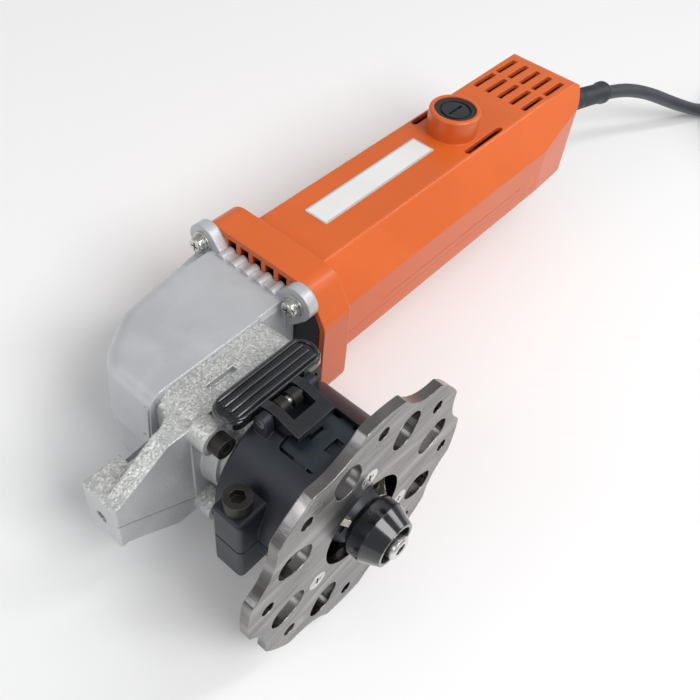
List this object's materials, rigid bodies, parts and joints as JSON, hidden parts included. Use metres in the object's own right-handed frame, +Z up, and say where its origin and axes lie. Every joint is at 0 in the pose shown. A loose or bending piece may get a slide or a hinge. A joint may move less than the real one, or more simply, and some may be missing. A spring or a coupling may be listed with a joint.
{
  "type": "hand-held edge beveller",
  "caption": "Corded hand-held edge beveller: angled bevel-gear head with guide roller, cutter head and turnable scalloped guide plate.",
  "frame": {"origin": "centre of the tool's footprint at the floor, cord not counted", "axes": "+X along the motor axis seen from above, tail to head; +Z up; the tool lies on guide plate, lower brush boss and housing flange"},
  "size_m": [0.5928, 0.2117, 0.1113],
  "materials": {
    "orange_plastic": "glossy moulded nylon",
    "smooth_silver": "smooth silver paint on die-cast aluminium",
    "coarse_silver": "coarse hammered silver paint",
    "black_oxide": "blackened steel, satin",
    "black_bolts": "black oxide",
    "slate_steel": "slate grey phosphated steel",
    "plate_steel": "dark nickel, cloudy polish",
    "gloss_black": "glossy black",
    "black_plastic": "moulded, satin",
    "zinc": "zinc plated",
    "ground_steel": "ground",
    "carbide": "ground carbide",
    "lamination": "varnished laminations",
    "copper": "enamelled copper",
    "brass": "plain brass",
    "carbon": "pressed carbon",
    "spring_steel": "drawn wire",
    "rubber": "moulded rubber",
    "cord_rubber": "dark grey sheath",
    "label": "blank white label"
  },
  "bodies": {
    "housing": {"bearing_box": "coarse_silver", "bearing_box_screws": "black_bolts", "bearing_retainer": "black_oxide", "brush_caps": "black_plastic", "brush_holders": "brass", "brush_springs": "spring_steel", "carbon_brushes": "carbon", "case_bearing": "ground_steel", "case_flat_washers": "zinc", "case_screws": "zinc", "case_spring_washers": "zinc", "clamp_bolt": "black_bolts", "clamp_collar": "black_oxide", "cord_coil": "cord_rubber", "cord_end": "cord_rubber", "fan_baffle": "black_plastic", "field_coils": "copper", "gear_case": "smooth_silver", "label_plate": "label", "lever_pin": "ground_steel", "lever_spring": "black_bolts", "motor_bearing": "ground_steel", "motor_housing": "orange_plastic", "plug_body": "black_plastic", "plug_pins": "brass", "power_cord": "cord_rubber", "ring_clip": "black_oxide", "shaft_seal": "rubber", "spindle_bearing": "ground_steel", "stator_core": "lamination", "strain_relief": "rubber", "switch_block": "black_plastic", "tail_bearing": "ground_steel", "tail_cover": "orange_plastic", "terminal_block": "black_plastic"},
    "rotor": {"armature_shaft": "ground_steel", "armature_core": "lamination", "armature_windings": "copper", "commutator": "copper", "cooling_fan": "black_plastic", "pinion": "ground_steel"},
    "spindle": {"spindle": "ground_steel", "bevel_gear": "ground_steel", "cutter_head": "black_oxide", "cutter_inserts": "carbide", "insert_screws": "black_bolts", "roller_bolt": "zinc"},
    "roller": {"guide_roller": "gloss_black", "roller_bearing": "ground_steel"},
    "depth_ring": {"detent_ring": "slate_steel"},
    "plate": {"guide_plate": "plate_steel", "plate_sleeve": "plate_steel", "plate_screws": "zinc"},
    "lever": {"lock_lever": "gloss_black"},
    "slider": {"switch_slider": "black_plastic", "switch_rod": "black_plastic"}
  },
  "joints": [
    {"name": "rotor_spin", "type": "hinge", "parent": "housing", "child": "rotor", "pos_m": [0.1005, -0.03522, 0.03879], "axis": [0.9994, 0, -0.036], "continuous": true},
    {"name": "spindle_spin", "type": "hinge", "parent": "housing", "child": "spindle", "pos_m": [0.1005, -0.03522, 0.03879], "axis": [0.0069, 0.9813, 0.1923], "continuous": true},
    {"name": "roller_spin", "type": "hinge", "parent": "spindle", "child": "roller", "pos_m": [0.10116, 0.05859, 0.05717], "axis": [0.0069, 0.9813, 0.1923], "continuous": true},
    {"name": "ring_turn", "type": "hinge", "parent": "housing", "child": "depth_ring", "pos_m": [0.10095, 0.02817, 0.05121], "axis": [0.0069, 0.9813, 0.1923], "range_deg": [-180, 180]},
    {"name": "plate_slide", "type": "slide", "parent": "depth_ring", "child": "plate", "axis": [0.0069, 0.9813, 0.1923], "range_m": [-0.0021, 0.0021]},
    {"name": "lock_lever", "type": "hinge", "parent": "housing", "child": "lever", "pos_m": [0.10208, 0.01424, 0.0827], "axis": [0.9994, 0, -0.036], "range_deg": [-10, 8]},
    {"name": "switch_slide", "type": "slide", "parent": "housing", "child": "slider", "axis": [0.9994, 0, -0.036], "range_m": [0, 0.008]}
  ],
  "couplings": [
    {"joint": "spindle_spin", "follows": "rotor_spin", "ratio": 0.32258},
    {"joint": "plate_slide", "follows": "ring_turn", "m_per_rad": 0.00063662}
  ]
}
